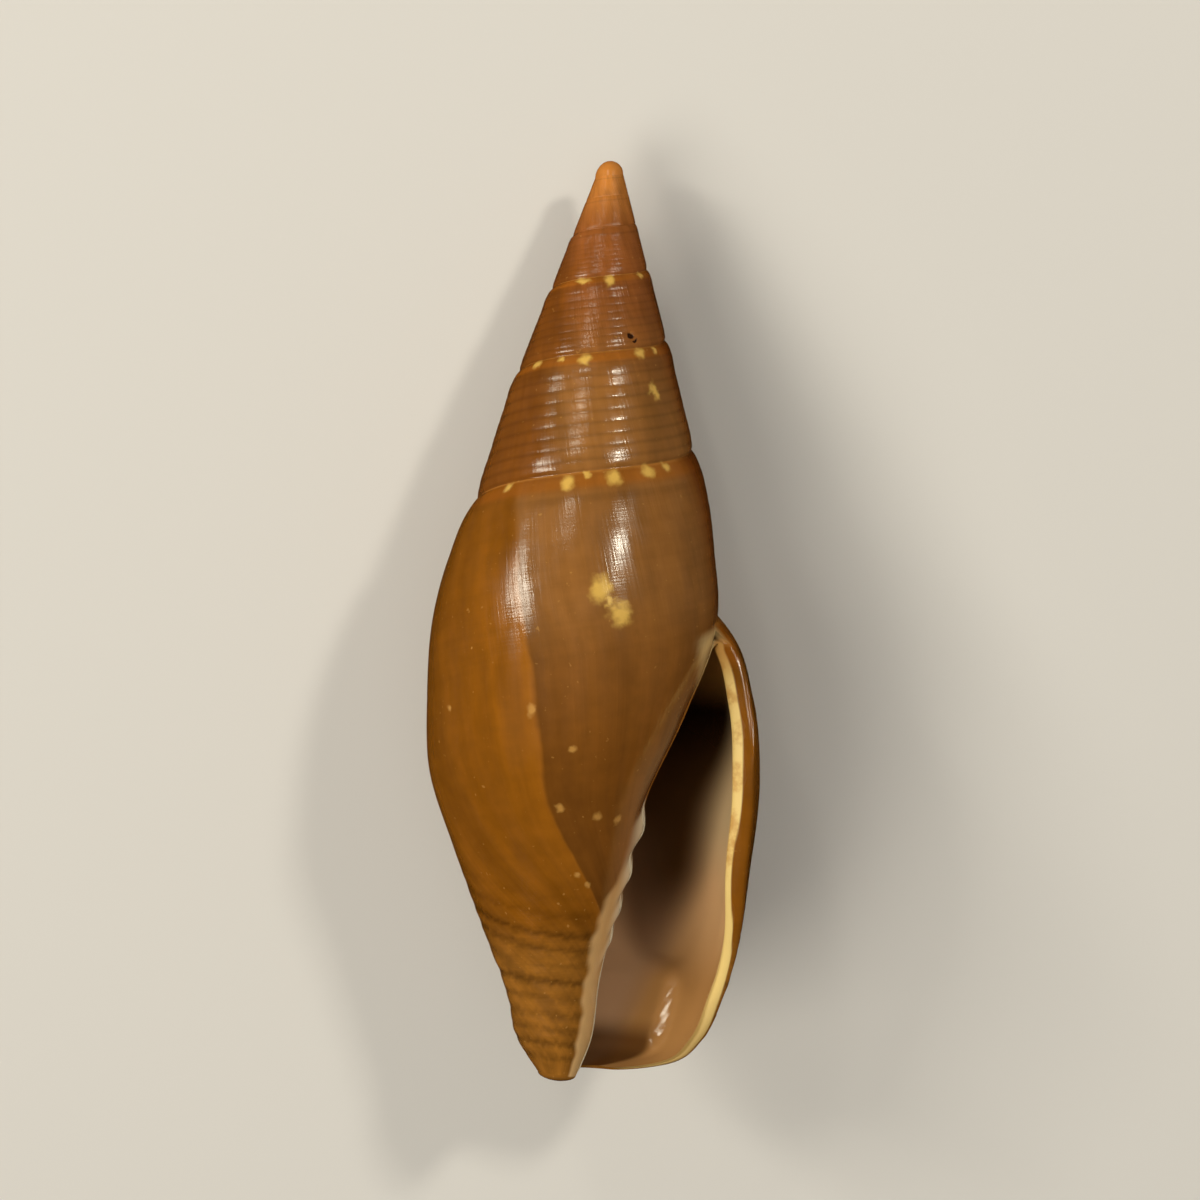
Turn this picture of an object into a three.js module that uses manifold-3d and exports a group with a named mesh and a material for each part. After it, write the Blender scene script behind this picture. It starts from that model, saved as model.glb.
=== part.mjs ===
// Mitre shell: a slender spindle-shaped sea snail shell that lies on its back with the mouth up.
// X runs to the side of the mouth, Y along the coil axis to the tip of the spire, Z up.
// Lengths are in millimetres. Growth is counted in turns: 0 is the right side of the last whorl.
import * as THREE from "three";
import { mergeVertices } from "three/addons/utils/BufferGeometryUtils.js";
import Module from "manifold-3d";

// Spiral of the suture. Depth is measured down the axis from the pole that the spiral shrinks towards.
const POLE_ABOVE_TIP = 1.0;
const WHORL_RATIO = 1.543;
const SUTURE_DEPTH = 20.2;
const SUTURE_RADIUS = 5.73;
const LATE_WIDENING = 0.28;
const SLOWDOWN_TURN = -1;
const SLOWDOWN_SPAN = 0.25;
const FIRST_TURN = -6.24;
const WHORL_LEAN = 0.05;

// Blunt, worn tip of the spire.
const BLUNT_RADIUS = 0.13;
const BLUNT_SPAN = 4;
const DOME_RADIUS_SHARE = 0.62;
const DOME_DEPTH_SHARE = 0.25;

// Side of a whorl: how far it swells out between two sutures, as a share of the suture radius.
// Each row is [share of the way down, on the spire, a turn before the lip, half a turn before, at the lip].
const SWELL = [
  [0.06, 0.03, 0.04, 0.05, 0.09],
  [0.3, 0.03, 0.09, 0.125, 0.205],
  [0.6, 0.03, 0.07, 0.135, 0.19],
  [1, 0, 0, 0.012, 0.024],
];
const SPIRE_TURN = -1.7;

// Base of the last whorl: its radius as a share of the radius at its lower suture line.
// Each row is [share of the way down, a turn before the lip, half a turn before, at the lip].
const TAPER = [
  [0.2, 0.773, 0.962, 1.0],
  [0.4, 0.5, 0.772, 0.963],
  [0.6, 0.367, 0.566, 0.908],
  [0.8, 0.22, 0.355, 0.81],
  [0.92, 0.19, 0.255, 0.68],
  [1, 0.11, 0.122, 0.54],
];
const RIM_DEPTH = 40.68;
const RIM_RISE_AT_LIP = 0.3;
const TIP_DEPTH = 41.0;

// Edge of the mouth, in turns.
const LIP_TURN = 0.035;
const LIP_REACH = 0.015;
const LIP_RETREAT = 0.05;
const NOTCH_TURN = -0.22;

// Walls and hollow.
const WALL = 0.72;
const LIP_WALL = 0.6;
const LIP_WALL_TURNS = 0.08;
const LIP_ROUNDING = 0.2;
const RIM_WALL_SHARE = 0.5;
const RIM_WALL_DEPTH = 36;
const GLAZE = 0.07;
const PILLAR_SLOPE = 0.029;
const PILLAR_TIP_SHARE = 0.45;
const PILLAR_TIP_DEPTH = 37;
const LEAST_HOLLOW = 0.12;
const HOLLOW_TURNS = 4.2;

// Folds on the pillar beside the mouth: [depth at the lip, height, half width].
const FOLDS = [
  [29.6, 0.34, 0.55],
  [31.4, 0.26, 0.45],
  [32.9, 0.18, 0.4],
  [34.2, 0.12, 0.35],
];

// Rest on the back: the spire end is a little lower, and a small flat spot is worn on the lowest place.
const SEAT_TILT_DEGREES = 9;
const FLAT_DEPTH = 0.4;

// Mesh steps.
const STEPS_PER_TURN = 40;
const SIDE_STEPS = 8;
const BASE_STEPS = 14;
const NOTCH_STEPS = 3;
const HOLLOW_STEPS = 58;
const HOLLOW_EVENNESS = 0.45;

const COLUMNS = Math.round((LIP_TURN - FIRST_TURN) * STEPS_PER_TURN);
const LAST_WHORL = COLUMNS - STEPS_PER_TURN;

const mix = (from, to, share) => from + (to - from) * share;
const clamp = (value) => Math.min(1, Math.max(0, value));
const smooth = (value) => clamp(value) ** 2 * (3 - 2 * clamp(value));

// Depth of the suture at a place of growth.
function sutureDepth(turn) {
  return SUTURE_DEPTH * WHORL_RATIO ** turn;
}

// Radius of the suture: the spire is a plain cone with a blunt tip, and the last whorl widens less.
function sutureRadius(turn) {
  const slowed = (at) => SLOWDOWN_SPAN * Math.log(1 + Math.exp((at - SLOWDOWN_TURN) / SLOWDOWN_SPAN));
  const early = Math.log(WHORL_RATIO);
  const growth = early * turn - (early - LATE_WIDENING) * (slowed(turn) - slowed(0));
  const blunt = BLUNT_RADIUS * Math.exp(-((sutureDepth(turn) / BLUNT_SPAN) ** 2));
  return SUTURE_RADIUS * Math.exp(growth) + blunt;
}

// Swelling at a place of growth, from its value on the spire and at three stages of the last whorl.
function swellAt(turn, [spire, first, middle, last]) {
  if (turn < -1) return mix(spire, first, smooth((turn - SPIRE_TURN) / (-1 - SPIRE_TURN)));
  const x = turn + 1;
  return first * (2 * x - 1) * (x - 1) + middle * 4 * x * (1 - x) + last * x * (2 * x - 1);
}

// Taper at a place of growth: it rises steadily through three stages and fades out before the first.
function taperAt(turn, [first, middle, last]) {
  const ratio = (last - middle) / (middle - first);
  const rise = (last - first) / (ratio ** 2 - 1);
  const x = turn + 1;
  if (x < 0) return first * Math.exp((x * rise * 2 * Math.log(ratio)) / first);
  return first + rise * (ratio ** (2 * x) - 1);
}

// Depth of the lower rim, which rises a little towards the lip.
function rimDepth(turn) {
  return RIM_DEPTH - RIM_RISE_AT_LIP * smooth((turn + 0.4) / 0.4);
}

// Outline of the whorl at a place of growth, as knots of depth and radius.
function outline(turn) {
  const top = sutureDepth(turn);
  const bottom = sutureDepth(turn + 1);
  const topRadius = sutureRadius(turn);
  const bottomRadius = sutureRadius(turn + 1);
  const swell = SWELL.map(([share, ...stages]) => [
    mix(top, bottom, share),
    mix(topRadius, bottomRadius, share) + topRadius * swellAt(turn, stages),
  ]);
  const taper = TAPER.map(([share, ...stages]) => [
    mix(bottom, rimDepth(turn), share),
    bottomRadius * taperAt(turn, stages),
  ]);
  return [[top, topRadius], ...swell, ...taper];
}

// Radius of the whorl at a depth: a smooth curve through the knots of its outline.
function radiusAt(turn, depth) {
  const knots = outline(turn);
  const last = knots.length - 2;
  const secant = (k) => (knots[k + 1][1] - knots[k][1]) / (knots[k + 1][0] - knots[k][0]);
  const tangent = (k) => {
    if (k === 0) return secant(0);
    if (k > last) return secant(last);
    const before = knots[k][0] - knots[k - 1][0];
    const after = knots[k + 1][0] - knots[k][0];
    return (secant(k - 1) * after + secant(k) * before) / (before + after);
  };
  let k = 0;
  while (k < last && depth > knots[k + 1][0]) k += 1;
  const span = knots[k + 1][0] - knots[k][0];
  const s = clamp((depth - knots[k][0]) / span);
  const start = knots[k][1] * (1 + 2 * s) * (1 - s) ** 2 + tangent(k) * span * s * (1 - s) ** 2;
  const end = knots[k + 1][1] * s * s * (3 - 2 * s) - tangent(k + 1) * span * s * s * (1 - s);
  return start + end;
}

// Depth of a whorl's row: 0 is its upper suture, 1 its lower suture line, 2 the lower rim.
function depthOf(turn, row) {
  if (row <= 1) return mix(sutureDepth(turn), sutureDepth(turn + 1), row);
  return mix(sutureDepth(turn + 1), rimDepth(turn), row - 1);
}

// Point at a place of growth, a depth and a radius.
function place(turn, depth, radius) {
  const angle = 2 * Math.PI * turn;
  const x = radius * Math.cos(angle);
  return [x, -depth - WHORL_LEAN * x, radius * Math.sin(angle)];
}

function onSide(turn, row) {
  const depth = depthOf(turn, row);
  return place(turn, depth, radiusAt(turn, depth));
}

// Turn of the outer lip's edge along its rows.
function lipTurn(row) {
  const reach = LIP_REACH * smooth(row / 0.5);
  const retreat = LIP_RETREAT * smooth(row - 0.7);
  return LIP_TURN + reach - retreat;
}

// Edge of the mouth as [turn, row] by step: down the lip, then back along the notch of the canal.
function edgeAt(step) {
  if (step <= SIDE_STEPS) return [lipTurn(step / SIDE_STEPS), step / SIDE_STEPS];
  const lipSteps = BASE_STEPS - NOTCH_STEPS;
  const below = step - SIDE_STEPS;
  const row = 1 + Math.min(1, below / lipSteps);
  const back = Math.max(0, below - lipSteps) / NOTCH_STEPS;
  return [mix(lipTurn(row), NOTCH_TURN, back), row];
}

// Inner side of the hollow: the whorl before it, the pillar below that, and the folds.
function innerRadius(turn, depth) {
  const shrink = WHORL_RATIO ** (turn - LIP_TURN);
  const narrowing = smooth((depth - PILLAR_TIP_DEPTH) / (RIM_DEPTH - PILLAR_TIP_DEPTH));
  const core = PILLAR_SLOPE * depth * mix(1, PILLAR_TIP_SHARE, narrowing);
  const pillar = Math.max(radiusAt(turn - 1, depth) + GLAZE * shrink, core);
  const ridges = FOLDS.map(([at, height, width]) => {
    const off = (depth - at * shrink) / (width * shrink);
    return height * shrink * Math.exp(-off * off);
  });
  return pillar + ridges.reduce((sum, ridge) => sum + ridge, 0);
}

// Outer side of the hollow: the whorl less its wall, which is thinner at the lip and the lower rim.
function outerRadius(turn, depth, inward) {
  const shrink = WHORL_RATIO ** Math.min(0, turn);
  const wall = mix(LIP_WALL, WALL, smooth(inward / LIP_WALL_TURNS));
  const rim = smooth((depth - RIM_WALL_DEPTH) / (RIM_DEPTH - RIM_WALL_DEPTH));
  return radiusAt(turn, depth) - wall * shrink * mix(1, RIM_WALL_SHARE, rim);
}

// Depth where the hollow closes, between a depth inside it and one outside.
function closing(turn, inside, outside) {
  let [open, shut] = [inside, outside];
  for (let round = 0; round < 30; round += 1) {
    const middle = (open + shut) / 2;
    const gap = outerRadius(turn, middle, 1) - innerRadius(turn, middle);
    if (gap > LEAST_HOLLOW) open = middle;
    else shut = middle;
  }
  return open;
}

// Points and faces of a skin that is built up patch by patch.
class Skin {
  points = [];
  faces = [];

  add(point) {
    return this.points.push(point) - 1;
  }

  quad(a, b, c, d) {
    this.faces.push([a, b, c], [a, c, d]);
  }

  // Band between two closed loops with as many points each.
  band(from, to) {
    from.forEach((start, k) => {
      const after = (k + 1) % from.length;
      this.quad(start, to[k], to[after], from[after]);
    });
  }

  fan(loop, centre) {
    loop.forEach((start, k) => this.faces.push([centre, loop[(k + 1) % loop.length], start]));
  }
}

// How far a column is along the last whorl: negative on the spire, 1 at the lip.
const alongLast = (column) => (column - LAST_WHORL) / STEPS_PER_TURN;

// Points on the side of every whorl, from suture to suture.
function sidePoints(skin) {
  const side = [];
  for (let column = 0; column <= COLUMNS; column += 1) {
    side.push([]);
    for (let step = 0; step < SIDE_STEPS; step += 1) {
      const row = step / SIDE_STEPS;
      const warp = Math.max(0, alongLast(column)) * (lipTurn(row) - LIP_TURN);
      side[column].push(skin.add(onSide(LIP_TURN - 1 + alongLast(column) + warp, row)));
    }
  }
  return side;
}

// Points on the base of the last whorl, from the pillar round to the edge of the mouth.
function basePoints(skin, sutureEnd) {
  const base = [];
  for (let column = 0; column <= STEPS_PER_TURN; column += 1) {
    const along = column / STEPS_PER_TURN;
    base.push([]);
    for (let step = 0; step <= BASE_STEPS; step += 1) {
      const [edgeTurn, edgeRow] = edgeAt(SIDE_STEPS + step);
      const turn = mix(LIP_TURN - 1, edgeTurn, along);
      const row = mix(1 + step / BASE_STEPS, edgeRow, along ** 2);
      const shared = column === 0 && step === 0;
      base[column].push(shared ? sutureEnd : skin.add(onSide(turn, row)));
    }
  }
  return base;
}

// Outer faces: each whorl's lower edge is the next whorl's suture, and the last one's is the base.
function coverOutside(skin, side, base) {
  const at = (column, step) => {
    if (step < SIDE_STEPS) return side[column][step];
    if (column + STEPS_PER_TURN <= COLUMNS) return side[column + STEPS_PER_TURN][0];
    return base[column - LAST_WHORL][0];
  };
  for (let column = 0; column < COLUMNS; column += 1)
    for (let step = 0; step < SIDE_STEPS; step += 1)
      skin.quad(at(column, step), at(column + 1, step), at(column + 1, step + 1), at(column, step + 1));
  for (let column = 0; column < STEPS_PER_TURN; column += 1)
    for (let step = 0; step < BASE_STEPS; step += 1) {
      const [left, right] = [base[column], base[column + 1]];
      skin.quad(left[step], right[step], right[step + 1], left[step + 1]);
    }
}

// Rounded tips: the worn dome on the spire and the lower end of the pillar.
function coverTips(skin, side, base) {
  const spireEdge = side.slice(0, STEPS_PER_TURN + 1).map((column) => column[0]);
  const edge = [...spireEdge, ...side[0].slice(1).reverse()];
  const dome = edge.map((index) => {
    const [x, y, z] = skin.points[index];
    return skin.add([
      x * DOME_RADIUS_SHARE,
      mix(-POLE_ABOVE_TIP, y, DOME_DEPTH_SHARE),
      z * DOME_RADIUS_SHARE,
    ]);
  });
  skin.band(edge, dome);
  skin.fan(dome, skin.add([0, -POLE_ABOVE_TIP, 0]));
  const pillarEdge = base.map((column) => column[BASE_STEPS]).reverse();
  skin.fan(pillarEdge, skin.add([0, -TIP_DEPTH, 0]));
}

// Lip, pillar side and hollow: loops that follow the edge of the mouth and wind inwards.
function coverHollow(skin, side, base) {
  const lipEdge = [...side[COLUMNS], ...base[STEPS_PER_TURN]];
  const rim = [...lipEdge, ...base[0].slice(1).reverse()];
  const mouthTop = sutureDepth(LIP_TURN);
  const ways = rim.map((index) => {
    const [x, y] = skin.points[index];
    return clamp((-y - WHORL_LEAN * x - mouthTop) / (RIM_DEPTH - RIM_RISE_AT_LIP - mouthTop));
  });
  const loopAt = (inward, rounding) => {
    const turn = LIP_TURN - inward;
    const middle = sutureDepth(turn + 0.6);
    const open = clamp(1 - inward / (LIP_TURN - NOTCH_TURN));
    const top = closing(turn, middle, sutureDepth(turn));
    const bottom = open > 0 ? rimDepth(turn) - GLAZE : closing(turn, middle, RIM_DEPTH);
    return ways.map((way, k) => {
      const depth = mix(top, bottom, way);
      if (k >= lipEdge.length) return skin.add(place(turn, depth, innerRadius(turn, depth)));
      const outTurn = turn + (edgeAt(k)[0] - LIP_TURN) * open;
      const free = innerRadius(outTurn, depth) + LEAST_HOLLOW;
      const radius = Math.max(outerRadius(outTurn, depth, inward), free);
      const ahead = (LIP_ROUNDING * rounding) / (2 * Math.PI * radius);
      return skin.add(place(outTurn + ahead, depth, mix(radius, radiusAt(outTurn, depth), rounding / 2)));
    });
  };
  let loop = rim;
  for (let step = -1; step <= HOLLOW_STEPS; step += 1) {
    const x = Math.max(0, step) / HOLLOW_STEPS;
    const inward = HOLLOW_TURNS * mix(x * x, x, HOLLOW_EVENNESS);
    const next = loopAt(inward, step < 0 ? 1 : 0);
    skin.band(loop, next);
    loop = next;
  }
  const ends = loop.map((index) => new THREE.Vector3(...skin.points[index]));
  const centre = ends.reduce((sum, point) => sum.add(point), new THREE.Vector3()).divideScalar(loop.length);
  skin.fan(loop, skin.add(centre.toArray()));
}

// The whole shell as one closed skin.
function shellGeometry() {
  const skin = new Skin();
  const side = sidePoints(skin);
  const base = basePoints(skin, side[COLUMNS][0]);
  coverOutside(skin, side, base);
  coverTips(skin, side, base);
  coverHollow(skin, side, base);
  const geometry = new THREE.BufferGeometry();
  geometry.setAttribute("position", new THREE.Float32BufferAttribute(skin.points.flat(), 3));
  geometry.setIndex(skin.faces.flat());
  return geometry;
}

const wasm = await Module();
wasm.setup();

// A closed geometry as a solid that can be cut.
function solidOf(geometry) {
  geometry.deleteAttribute("normal");
  geometry.deleteAttribute("uv");
  const merged = mergeVertices(geometry);
  return new wasm.Manifold(
    new wasm.Mesh({
      numProp: 3,
      vertProperties: merged.attributes.position.array,
      triVerts: new Uint32Array(merged.index.array),
    }),
  );
}

function geometryOf(solid) {
  const mesh = solid.getMesh();
  const geometry = new THREE.BufferGeometry();
  geometry.setAttribute("position", new THREE.BufferAttribute(mesh.vertProperties, 3));
  geometry.setIndex(new THREE.BufferAttribute(mesh.triVerts, 1));
  return geometry;
}

// The shell seated on its flat spot, with the origin at the middle of its footprint.
function seatedShell() {
  const geometry = shellGeometry();
  geometry.rotateX(-THREE.MathUtils.degToRad(SEAT_TILT_DEGREES));
  geometry.computeBoundingBox();
  const middle = geometry.boundingBox.getCenter(new THREE.Vector3());
  geometry.translate(-middle.x, -middle.y, -geometry.boundingBox.min.z - FLAT_DEPTH);
  const below = new THREE.BoxGeometry(4 * TIP_DEPTH, 4 * TIP_DEPTH, TIP_DEPTH);
  below.translate(0, 0, -TIP_DEPTH / 2);
  const seated = geometryOf(solidOf(geometry).subtract(solidOf(below)));
  seated.computeVertexNormals();
  return seated;
}

const shellMaterial = new THREE.MeshStandardMaterial({ color: 0x8a5a28, roughness: 0.25, metalness: 0 });
const shell = new THREE.Mesh(seatedShell(), shellMaterial);
shell.name = "shell";

const group = new THREE.Group();
group.add(shell);

export default group;
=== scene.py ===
"""Looks of the mitre shell: one closed skin with its relief and markings, and the stage around it.

Lengths are in millimetres from the pole of the suture's spiral until the skin is set on the floor.
Growth is counted in turns: 0 is the right side of the last whorl, -0.75 its front, -1 its right side again.
Rows run down a whorl: 0 is its upper suture, 1 its lower suture line, 2 the lower rim.
Relief changes by ramps, given as their start and span, and waves, given as size, rate and phase.
Paint changes by steps, given as their two ends, then the shares there if not 0 and 1.
"""
import math
import random

import bpy
import numpy as np
from mathutils import Matrix, Vector


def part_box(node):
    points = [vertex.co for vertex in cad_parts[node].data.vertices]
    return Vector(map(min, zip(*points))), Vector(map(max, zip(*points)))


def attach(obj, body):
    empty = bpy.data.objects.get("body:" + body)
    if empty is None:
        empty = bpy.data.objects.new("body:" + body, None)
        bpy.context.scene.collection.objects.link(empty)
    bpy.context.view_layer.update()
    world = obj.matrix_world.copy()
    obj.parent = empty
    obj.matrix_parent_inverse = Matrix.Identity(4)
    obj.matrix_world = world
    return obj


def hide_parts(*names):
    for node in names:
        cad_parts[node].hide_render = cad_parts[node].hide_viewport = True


MM_PER_METRE = 1000

# Spiral of the suture
POLE_ABOVE_TIP = 1.0
WHORL_RATIO = 1.543
SUTURE_DEPTH = 20.2
SUTURE_RADIUS = 5.73
LATE_WIDENING = 0.28
SLOWDOWN_TURN = -1
SLOWDOWN_SPAN = 0.25
FIRST_TURN = -6.24
WHORL_LEAN = 0.05
BLUNT_RADIUS = 0.06
BLUNT_SPAN = 4

# Side of a whorl: share of the way down, swelling on the spire, and at three stages of the last whorl
SWELL = (
    (0.06, 0.03, 0.04, 0.05, 0.09),
    (0.3, 0.03, 0.09, 0.125, 0.205),
    (0.6, 0.03, 0.07, 0.135, 0.19),
    (1, 0, 0, 0.012, 0.024),
)
SPIRE_TURN = -1.7
WORN_DEPTH = 1.5
WORN_SPAN = 4

# Base of the last whorl: share of the way down, and radius at three stages of the last whorl
TAPER = (
    (0.2, 0.773, 0.962, 1.0),
    (0.4, 0.5, 0.772, 0.963),
    (0.6, 0.367, 0.566, 0.908),
    (0.8, 0.25, 0.36, 0.81),
    (0.92, 0.215, 0.28, 0.68),
    (1, 0.125, 0.14, 0.54),
)
RIM_DEPTH = 40.68
RIM_RISE = 0.3
RIM_RISE_TURNS = 0.4
TIP_DEPTH = 41.0

# Edge of the mouth, in turns and rows
LIP_TURN = 0.035
PILLAR_TURN = LIP_TURN - 1
LIP_REACH = 0.015
LIP_REACH_ROWS = 0.5
LIP_RETREAT = 0.05
LIP_RETREAT_ROW = 0.7
NOTCH_TURN = -0.22
CORNER_ROWS = 0.125
CORNER_TURNS = 0.095

# Walls and hollow
WALL = 0.72
LIP_WALL = 0.6
LIP_BEVEL_WALL = 1.0
LIP_WALL_TURNS = 0.08
LIP_ROUNDING = 0.2
RIM_WALL_SHARE = 0.5
RIM_WALL_DEPTH = 36
GLAZE = 0.07
PILLAR_SLOPE = 0.029
PILLAR_TIP_SHARE = 0.45
PILLAR_TIP_DEPTH = 37
LEAST_HOLLOW = 0.12
HOLLOW_TURNS = 4.2
HOLLOW_MIDDLE = 0.6
CLOSING_ROUNDS = 30
BEVEL_DEPTHS = (30, 6)

# Low ledge in the canal, whose edge lies some turns inside the lip, fewer further down
LEDGE_HEIGHT = 0.5
LEDGE_WIDTH = 0.0235
LEDGE_TOP = 35.2
LEDGE_END = 38.6
LEDGE_FADE = 1.3
LEDGE_EDGE_ABOVE = 0.08
LEDGE_EDGE_BELOW = 0.06
LEDGE_EDGE_DEPTH = 37
LEDGE_EDGE_SPAN = 2
LEDGE_BACK = (0.2, 0.1)

# Rim of the lip: uneven rounding, and how far the brown of the outside reaches over it
CHIPS = (0.12, 1.9)
CHIP_GAPS = (1, 0.8, 1)
BROWN_REACH = 0.12
BROWN_ON_BEVEL = 0.22
BROWN_AT_TOP = 0.12
BROWN_TOP_DEPTHS = (21.5, 4)
BROWN_PATCH = 0.28
BROWN_PATCH_DEPTH = 32
BROWN_PATCH_SPAN = 3.2
CREAM_SOFTNESS = 0.2
CREAM_FADE = 0.012

# Folds on the pillar: depth at the lip, height, half width
FOLDS = (
    (29.75, 0.36, 0.75),
    (31.7, 0.28, 0.6),
    (33.3, 0.2, 0.5),
    (34.6, 0.13, 0.4),
)
FOLD_REACH = 0.075
HIGHEST_FOLD = max(height for _, height, _ in FOLDS)

# White parts of the folds and of the pillar's edge
WHITE_GAIN = 3
WHITE_REACH = 0.07
PILLAR_WHITE_GAIN = 2.2
PILLAR_CALLUS_DEPTHS = (22.3, 1.6)
PILLAR_GLAZE_DEPTHS = (32.8, 1.2)

# Relief of the outside
GROOVES_PER_WHORL = 10
GROOVE_SHARPNESS = 4
GROOVE_DEPTH = 0.016
SPIRE_SHADE = 0.5
BODY_GROOVE_DEPTH = 0.002
BODY_FADE = (-1.3, 0.5)
WORN_DEPTHS = (3, 3)
LAST_GROOVE_ROW = 1.3
SUTURE_CUT = 0.05
SUTURE_CUT_WIDTH = 0.11
CUT_HEIGHTS = (0.8, 2)

# Glaze and callus of the inner lip
GLAZE_HEIGHT = 0.03
GLAZE_SPREAD = 0.03
GLAZE_ROWS = (1.38, 0.1)
GLAZE_LOW_SPREAD = 0.08
GLAZE_LOW_ROWS = (1.47, 0.2)
GLAZE_TOP_ROWS = (1.46, 0.16)
GLAZE_SOFTNESS = 0.03
GLAZE_WAVE = (0.006, 60)
GLAZE_FINE_WAVE = (0.004, 131, 1)
CALLUS_HEIGHT = 0.05
CALLUS_SPREAD = 0.05
CALLUS_ROWS = (1.0, 0.19)
CALLUS_TOP_ROWS = (0.995, 0.03)
CALLUS_END_ROWS = (1.12, 0.08)
CALLUS_SOFTNESS = 0.026
CALLUS_SHIFT = 0.25

# Grooves round the base: depth at the middle of the front, and how deep each is cut
BASE_GROOVES = (
    (32.9, 0.012),
    (33.7, 0.025),
    (34.55, 0.05),
    (35.2, 0.045),
    (35.9, 0.022),
    (36.6, 0.06),
    (37.35, 0.028),
    (38.05, 0.036),
    (38.7, 0.03),
    (39.3, 0.048),
    (39.95, 0.03),
)
BASE_GROOVE_WIDTH = 0.15
BASE_GROOVE_SAG = 0.6
DEEPEST_GROOVE = max(cut for _, cut in BASE_GROOVES)
SAG_DEPTHS = (34, 3)
SAG_TURN = -0.74
SAG_TURNS = 0.24
SAG_LIMIT = 1.3
BASE_WAVE = (0.04, 2 * math.pi * 23)
BASE_FINE_WAVE = (0.03, 2 * math.pi * 37)
BASE_LIP_TURNS = (-0.3, 0.25)
BASE_LIP_LOSS = 0.7

# Growth lines, which sweep back on the base, and the place where growth once stopped
SWEEP_SLOPE = 0.05
SWEEP_START = 1.3
SWEEP_END = 1.95
SWEEP_BEND = 1.2
GROWTH_STOP = -0.645
RIDGE_HEIGHT = 0.006
RIDGE_DEPTHS = (8, 6)
RIDGES = 9
FINE_RIDGES = 17
FINE_RIDGE_SHARE = 0.7
FINE_RIDGE_PHASE = 1.7
FINE_RIDGE_SLANT = 2

# Rest on the back
SEAT_TILT_DEGREES = 9

# Mesh steps
TURN_STEPS = 96
SIDE_STEPS = 80
BASE_STEPS = 110
CORNER_STEPS = 20
NOTCH_STEPS = 12
LIP_LOOPS = 8
HOLLOW_STEPS = 100
HOLLOW_EVENNESS = 0.1
DOME_RINGS = 5
BASE_CROWDING = 0.6
END_ROW = 0.5
CANAL_TIP_TURN = -0.6
CANAL_TIP_ROW = 2

COLUMNS = round((LIP_TURN - FIRST_TURN) * TURN_STEPS)
LAST_WHORL = COLUMNS - TURN_STEPS

# Spots hanging from the sutures on the front: millimetres right of the axis, whorl, width and height
SUTURE_SPOTS = (
    (-3.57, 0, 0.55, 0.45),
    (-1.04, 0, 0.6, 0.9),
    (-0.24, 0, 0.35, 0.35),
    (0.9, 0, 0.62, 0.85),
    (2.35, 0, 0.62, 0.65),
    (3.09, 0, 0.45, 0.5),
    (-2.67, -1, 0.45, 0.43),
    (-1.65, -1, 0.35, 0.3),
    (-0.62, -1, 0.6, 0.6),
    (1.71, -1, 0.5, 0.5),
    (2.34, -1, 0.36, 0.4),
    (-0.92, -2, 0.7, 0.25),
    (0.25, -2, 0.5, 0.52),
    (1.55, -2, 0.33, 0.3),
)

# Other markings of the front: millimetres right of the axis, depth, width and height
BLOTCHES = (
    (0.6, 19.55, 0.95, 1.05),
    (1.0, 20.05, 0.5, 0.5),
    (1.5, 20.5, 0.9, 0.95),
    (2.38, 10.84, 0.45, 0.66),
)
FAINT_DOTS = (
    (-2.04, 24.97, 0.45, 0.6),
    (-0.21, 26.43, 0.4, 0.3),
    (1.04, 29.21, 0.5, 0.42),
    (1.87, 29.29, 0.42, 0.45),
    (-5.56, 25.35, 0.35, 0.35),
    (-4.71, 22.6, 0.18, 0.18),
    (0.27, 31.81, 0.35, 0.25),
    (0.75, 32.2, 0.3, 0.22),
    (-0.6, 29.0, 0.45, 0.4),
)
PITS = (
    (1.25, 8.56, 0.3, 0.25),
    (1.46, 8.76, 0.24, 0.22),
)
PIT_SHARE = 0.03
PIT_RADIUS = 0.14
SPOT_DROP = 0.45
FAR_AWAY = 9.0

# Markings that the front view doesn't show: ranges of the random draws, and blotches by turn and row
HIDDEN_SEED = 11
HIDDEN_WHORLS = 4
HIDDEN_START = -0.46
HIDDEN_END = -0.02
HIDDEN_SHRINK = 0.6
HIDDEN_SIZES = (0.35, 0.65)
HIDDEN_ROWS = (0.05, 0.08)
HIDDEN_STRETCH = (1, 1.4)
HIDDEN_GAPS = (0.045, 0.09)
HIDDEN_BLOTCHES = ((-0.36, 0.62), (-0.2, 0.35), (-0.13, 1.1), (-0.29, 1.3))
BLOTCH_WIDTHS = (0.4, 0.9)
BLOTCH_HEIGHTS = (0.5, 1.0)

# Search for a place on the front
FRONT_TURN = -0.75
FRONT_LIMIT = 0.98
FRONT_ROUNDS = 12
FRONT_WHORLS = 7
FRONT_SLACK = 0.05

# Steps of the ground colours, some with painted sheen, of the dark and light beside the place where growth
# stopped, and of the painted shade down the right side
RAGGED_STREAKS = (30, 3)
RAGGED_TURNS = 0.02
STOP_SOFTNESS = 0.008
STOP_EDGE = 0.004
STOP_DARK = (-0.07, 0.0, 0, 0.3)
STOP_LIGHT = (0.09, 0.0, 0, 0.4)
STOP_ROWS = (0.2, 0.7)
# Older growth darkens downwards: partly its own colour, partly painted sheen on the lighter upper part
OLD_DARK_ROWS = (0.65, 1.3)
BASE_TAN_DEPTHS = (33.5, 36.0, 0, 0.5)
SPIRE_DEPTHS = (12.0, 6.0)
# Golden left flank of the spire; the lighter front beside it is painted sheen
FLANK_TURNS = (0.32, 0.39, 0, 0.85)
FLANK_DEPTHS = (4.0, 7.0)
ORANGE_DEPTHS = (4.6, 1.2)
BODY_TURNS = (-1.3, -1.05)
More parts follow.
